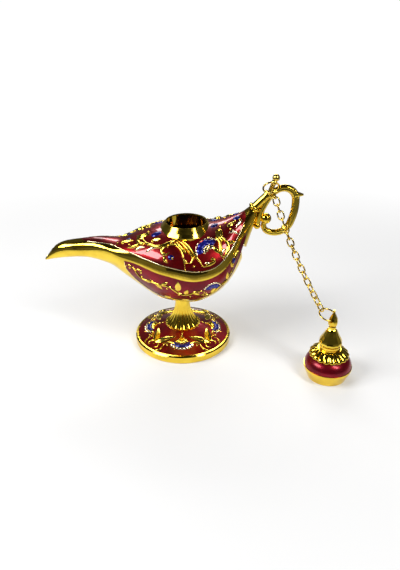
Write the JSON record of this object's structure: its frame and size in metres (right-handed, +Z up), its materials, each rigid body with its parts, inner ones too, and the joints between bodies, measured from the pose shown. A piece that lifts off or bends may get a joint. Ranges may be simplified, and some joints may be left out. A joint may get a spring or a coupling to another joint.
{
  "type": "genie oil lamp",
  "caption": "Enamelled cast oil lamp with a long spout, scroll handle and round fluted foot; its domed stopper hangs on a chain from the handle and plugs the filling hole",
  "frame": {"origin": "centre of the round foot, on the surface that the lamp stands on", "axes": "+Z up, +X towards the handle, -X towards the spout, -Y towards the viewer"},
  "size_m": [0.1409, 0.0654, 0.0844],
  "materials": {
    "cast_gold": "polished",
    "chain_gold": "polished",
    "ruby_enamel": "gloss",
    "crimson_enamel": "gloss",
    "screw_steel": "satin"
  },
  "bodies": {
    "lamp": {"back_enamel": "crimson_enamel", "collar": "cast_gold", "foot_enamel": "ruby_enamel", "foot_plate": "cast_gold", "front_enamel": "crimson_enamel", "handle_scroll": "cast_gold", "handle_tube": "cast_gold", "hanger_pin": "chain_gold", "lower_bowl": "cast_gold", "neck_ring": "cast_gold", "neck_stud": "screw_steel", "stem": "cast_gold", "tie_screw": "screw_steel", "tie_washer": "screw_steel", "upper_enamel": "ruby_enamel", "upper_shell": "cast_gold"},
    "hanger_ring": {"hanger_ring": "chain_gold"},
    "link_01": {"link_01": "chain_gold"},
    "link_02": {"link_02": "chain_gold"},
    "link_03": {"link_03": "chain_gold"},
    "link_04": {"link_04": "chain_gold"},
    "link_05": {"link_05": "chain_gold"},
    "link_06": {"link_06": "chain_gold"},
    "link_07": {"link_07": "chain_gold"},
    "link_08": {"link_08": "chain_gold"},
    "link_09": {"link_09": "chain_gold"},
    "link_10": {"link_10": "chain_gold"},
    "link_11": {"link_11": "chain_gold"},
    "link_12": {"link_12": "chain_gold"},
    "link_13": {"link_13": "chain_gold"},
    "link_14": {"link_14": "chain_gold"},
    "link_15": {"link_15": "chain_gold"},
    "link_16": {"link_16": "chain_gold"},
    "link_17": {"link_17": "chain_gold"},
    "link_18": {"link_18": "chain_gold"},
    "cap_ring": {"cap_ring": "chain_gold"},
    "cap": {"cap_body": "cast_gold", "cap_enamel": "crimson_enamel", "cap_crown": "cast_gold", "cap_knob": "cast_gold", "cap_tip": "cast_gold", "cap_stud": "screw_steel"}
  },
  "joints": [
    {"name": "hanger_ring_swing", "type": "hinge", "parent": "lamp", "child": "hanger_ring", "pos_m": [0.04104, 0, 0.0805], "axis": [0.878, -0.4787, 0], "range_deg": [-100, 20]},
    {"name": "link_01_swing", "type": "hinge", "parent": "hanger_ring", "child": "link_01", "pos_m": [0.04041, -0.00591, 0.07802], "axis": [-0.9512, -0.156, -0.2662], "range_deg": [-20, 45]},
    {"name": "link_02_swing", "type": "hinge", "parent": "link_01", "child": "link_02", "pos_m": [0.04126, -0.00671, 0.07544], "axis": [0.0097, -0.9509, 0.3092], "range_deg": [-30, 45]},
    {"name": "link_03_swing", "type": "hinge", "parent": "link_02", "child": "link_03", "pos_m": [0.04224, -0.00763, 0.07259], "axis": [0.9453, 0.0549, 0.3216], "range_deg": [-45, 35]},
    {"name": "link_04_swing", "type": "hinge", "parent": "link_03", "child": "link_04", "pos_m": [0.04326, -0.00857, 0.06977], "axis": [0.1046, 0.9504, -0.293], "range_deg": [-45, 30]},
    {"name": "link_05_swing", "type": "hinge", "parent": "link_04", "child": "link_05", "pos_m": [0.04431, -0.00955, 0.06696], "axis": [-0.9251, 0.0449, -0.3772], "range_deg": [-45, 45]},
    {"name": "link_06_swing", "type": "hinge", "parent": "link_05", "child": "link_06", "pos_m": [0.04539, -0.01056, 0.06418], "axis": [-0.216, -0.939, 0.2676], "range_deg": [-30, 45]},
    {"name": "link_07_swing", "type": "hinge", "parent": "link_06", "child": "link_07", "pos_m": [0.04651, -0.01161, 0.06143], "axis": [0.8909, -0.1422, 0.4314], "range_deg": [-45, 45]},
    {"name": "link_08_swing", "type": "hinge", "parent": "link_07", "child": "link_08", "pos_m": [0.04766, -0.01268, 0.0587], "axis": [0.323, 0.9173, -0.233], "range_deg": [-45, 30]},
    {"name": "link_09_swing", "type": "hinge", "parent": "link_08", "child": "link_09", "pos_m": [0.04885, -0.01378, 0.056], "axis": [-0.8433, 0.2359, -0.4829], "range_deg": [-45, 45]},
    {"name": "link_10_swing", "type": "hinge", "parent": "link_09", "child": "link_10", "pos_m": [0.05006, -0.01492, 0.05332], "axis": [-0.4235, -0.8858, 0.1896], "range_deg": [-45, 45]},
    {"name": "link_11_swing", "type": "hinge", "parent": "link_10", "child": "link_11", "pos_m": [0.05131, -0.01608, 0.05067], "axis": [0.7832, -0.3248, 0.5302], "range_deg": [-45, 45]},
    {"name": "link_12_swing", "type": "hinge", "parent": "link_11", "child": "link_12", "pos_m": [0.05259, -0.01727, 0.04805], "axis": [0.5162, 0.8454, -0.1376], "range_deg": [-45, 45]},
    {"name": "link_13_swing", "type": "hinge", "parent": "link_12", "child": "link_13", "pos_m": [0.0539, -0.01849, 0.04546], "axis": [-0.7115, 0.4082, -0.5719], "range_deg": [-45, 45]},
    {"name": "link_14_swing", "type": "hinge", "parent": "link_13", "child": "link_14", "pos_m": [0.05524, -0.01974, 0.0429], "axis": [-0.5993, -0.7967, 0.0778], "range_deg": [-45, 45]},
    {"name": "link_15_swing", "type": "hinge", "parent": "link_14", "child": "link_15", "pos_m": [0.05661, -0.02102, 0.04037], "axis": [0.6295, -0.4853, 0.6069], "range_deg": [-45, 45]},
    {"name": "link_16_swing", "type": "hinge", "parent": "link_15", "child": "link_16", "pos_m": [0.05801, -0.02233, 0.03787], "axis": [0.6717, 0.7408, -0.0111], "range_deg": [-45, 45]},
    {"name": "link_17_swing", "type": "hinge", "parent": "link_16", "child": "link_17", "pos_m": [0.05944, -0.02367, 0.0354], "axis": [-0.5385, 0.5553, -0.6338], "range_deg": [-45, 45]},
    {"name": "link_18_swing", "type": "hinge", "parent": "link_17", "child": "link_18", "pos_m": [0.06091, -0.02503, 0.03297], "axis": [-0.7321, -0.6784, -0.0617], "range_deg": [-45, 45]},
    {"name": "cap_ring_swing", "type": "hinge", "parent": "link_18", "child": "cap_ring", "pos_m": [0.0624, -0.02642, 0.03056], "axis": [0.4901, -0.5874, 0.644], "range_deg": [-40, 40]},
    {"name": "cap_swing", "type": "hinge", "parent": "cap_ring", "child": "cap", "pos_m": [0.0663, -0.03119, 0.0292], "axis": [0.766, 0.6428, 0], "range_deg": [-75, 65]}
  ]
}
